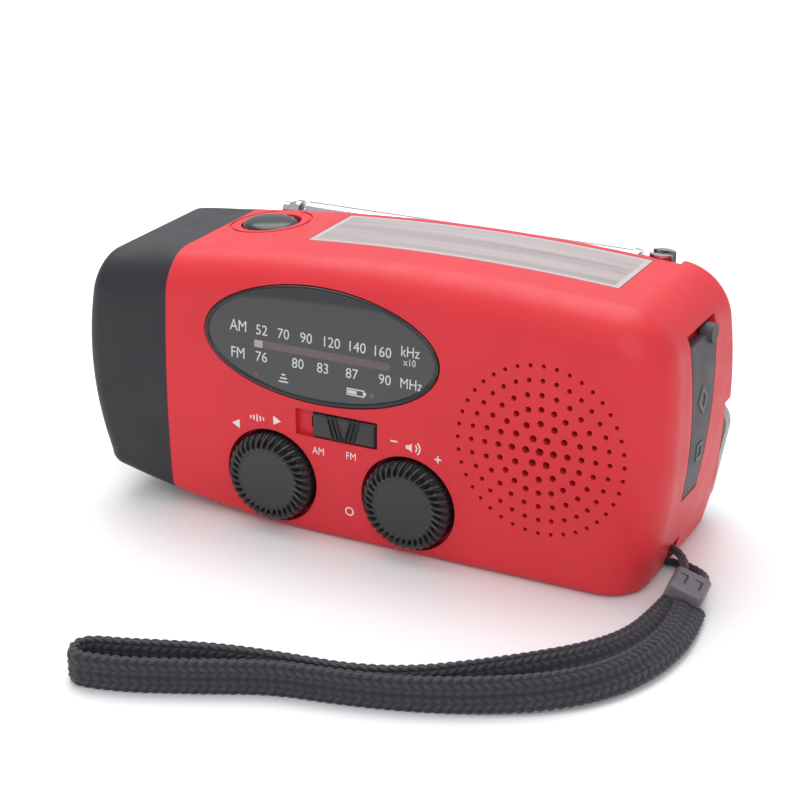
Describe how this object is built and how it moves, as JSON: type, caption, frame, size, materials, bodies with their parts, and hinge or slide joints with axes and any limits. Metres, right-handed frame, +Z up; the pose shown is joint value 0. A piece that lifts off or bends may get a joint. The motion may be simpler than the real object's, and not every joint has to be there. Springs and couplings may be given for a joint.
{
  "type": "emergency radio",
  "caption": "Hand-crank radio with torch head, tuning dial, perforated speaker, solar panel, folding aerial and wrist strap.",
  "frame": {"origin": "on the ground, under the middle of the casing's bounding box, without the strap", "axes": "+Z up, +X towards the socket end, -X towards the torch, -Y towards the front with the dial and speaker"},
  "size_m": [0.1391, 0.1267, 0.0593],
  "materials": {
    "red_body": "satin moulded ABS",
    "black_body": "fine-textured moulded ABS",
    "gloss_black": "polished",
    "black_knob": "satin moulded ABS",
    "clear_window": "polished smoked window",
    "clear_lens": "clear polished",
    "mirror_plating": "vacuum plated",
    "white_pointer": "satin",
    "solar_film": "clear cover over grey film",
    "solar_blue": "amorphous silicon",
    "rubber_cover": "matte moulded",
    "grey_plastic": "moulded",
    "white_plastic": "moulded",
    "circuit_board": "solder mask",
    "chrome_steel": "bright plated",
    "plain_steel": "bright",
    "brass_part": "turned",
    "paper_cone": "paper and film",
    "ferrite": "sintered",
    "copper_coil": "enamelled wire",
    "cell_sleeve": "shrink sleeve",
    "led_clear": "clear epoxy",
    "braid": "braided polyester",
    "clasp_grey": "moulded"
  },
  "bodies": {
    "casing": {"front_shell": "red_body", "rear_shell": "red_body", "torch_head": "black_body", "torch_lens": "clear_lens", "torch_reflector": "mirror_plating", "torch_leds": "led_clear", "torch_board": "circuit_board", "torch_switch": "plain_steel", "dial_window": "clear_window", "dial_scale": "gloss_black", "tuning_capacitor": "white_plastic", "volume_control": "plain_steel", "band_switch": "plain_steel", "speaker_frame": "plain_steel", "speaker_cone": "paper_cone", "speaker_magnet": "ferrite", "solar_cover": "solar_film", "solar_cell": "solar_blue", "main_board": "circuit_board", "battery_cells": "cell_sleeve", "ferrite_rod": "ferrite", "ferrite_coil": "copper_coil", "idler_axle": "plain_steel", "crank_bush": "brass_part", "gearbox_plate": "plain_steel", "generator": "plain_steel", "usb_socket": "plain_steel", "charge_socket": "black_body", "socket_board": "circuit_board", "case_screws": "plain_steel", "strap_bar": "plain_steel", "strap_thread": "braid", "strap_clasp": "clasp_grey", "strap_band": "braid"},
    "torch_press": {"torch_button": "gloss_black"},
    "tuning": {"tuning_knob": "black_knob", "tuning_shaft": "white_plastic"},
    "pointer": {"dial_pointer": "white_pointer"},
    "volume": {"volume_knob": "black_knob", "volume_shaft": "white_plastic"},
    "band": {"band_slider": "black_knob"},
    "crank": {"crank_arm": "grey_plastic", "crank_shaft": "plain_steel", "crank_gear": "white_plastic", "grip_pin": "plain_steel"},
    "grip": {"crank_grip": "black_knob"},
    "idler": {"idler_gear": "white_plastic", "idler_pinion": "white_plastic"},
    "rotor": {"motor_pinion": "brass_part", "generator_shaft": "plain_steel"},
    "swivel": {"aerial_swivel": "chrome_steel", "aerial_fork": "chrome_steel", "aerial_pin": "plain_steel"},
    "mast": {"aerial_tongue": "chrome_steel", "aerial_tube_1": "chrome_steel"},
    "mast_2": {"aerial_tube_2": "chrome_steel"},
    "mast_3": {"aerial_tube_3": "chrome_steel"},
    "mast_4": {"aerial_tube_4": "chrome_steel"},
    "flap": {"socket_cover": "rubber_cover"}
  },
  "joints": [
    {"name": "torch_button_press", "type": "slide", "parent": "casing", "child": "torch_press", "axis": [0, 0, -1], "range_m": [0, 0.0012], "stiffness_N_per_m": 400, "springref_m": -0.0003},
    {"name": "tuning_turn", "type": "hinge", "parent": "casing", "child": "tuning", "pos_m": [-0.0195, -0.0226, 0.0121], "axis": [0, -1, 0], "range_deg": [0, 300]},
    {"name": "pointer_travel", "type": "slide", "parent": "casing", "child": "pointer", "axis": [1, 0, 0], "range_m": [0, 0.029]},
    {"name": "volume_turn", "type": "hinge", "parent": "casing", "child": "volume", "pos_m": [0.0116, -0.0226, 0.0121], "axis": [0, -1, 0], "range_deg": [0, 300]},
    {"name": "band_slide", "type": "slide", "parent": "casing", "child": "band", "axis": [-1, 0, 0], "range_m": [0, 0.0037]},
    {"name": "crank_turn", "type": "hinge", "parent": "casing", "child": "crank", "pos_m": [0.0087, 0, 0.0231], "axis": [0, 1, 0], "continuous": true},
    {"name": "grip_spin", "type": "hinge", "parent": "crank", "child": "grip", "pos_m": [0.05302, 0.0225, 0.01529], "axis": [0, 1, 0], "continuous": true},
    {"name": "idler_spin", "type": "hinge", "parent": "casing", "child": "idler", "pos_m": [0.02576, 0, 0.0231], "axis": [0, 1, 0], "continuous": true},
    {"name": "rotor_spin", "type": "hinge", "parent": "casing", "child": "rotor", "pos_m": [0.04018, 0, 0.0231], "axis": [0, 1, 0], "continuous": true},
    {"name": "aerial_swivel", "type": "hinge", "parent": "casing", "child": "swivel", "pos_m": [0.0484, 0.0143, 0.052], "axis": [0, 0, 1], "range_deg": [-90, 0]},
    {"name": "aerial_tilt", "type": "hinge", "parent": "swivel", "child": "mast", "pos_m": [0.0484, 0.0143, 0.0558], "axis": [0, 1, 0], "range_deg": [0, 120]},
    {"name": "aerial_pull_2", "type": "slide", "parent": "mast", "child": "mast_2", "axis": [-1, 0, 0], "range_m": [0, 0.065]},
    {"name": "aerial_pull_3", "type": "slide", "parent": "mast_2", "child": "mast_3", "axis": [-1, 0, 0], "range_m": [0, 0.065]},
    {"name": "aerial_pull_4", "type": "slide", "parent": "mast_3", "child": "mast_4", "axis": [-1, 0, 0], "range_m": [0, 0.062]},
    {"name": "cover_flap", "type": "hinge", "parent": "casing", "child": "flap", "pos_m": [0.0633, 0, 0.0175], "axis": [0, 1, 0], "range_deg": [0, 110]}
  ],
  "couplings": [
    {"joint": "pointer_travel", "follows": "tuning_turn", "m_per_rad": 0.005538},
    {"joint": "idler_spin", "follows": "crank_turn", "ratio": -5},
    {"joint": "rotor_spin", "follows": "crank_turn", "ratio": 25}
  ]
}
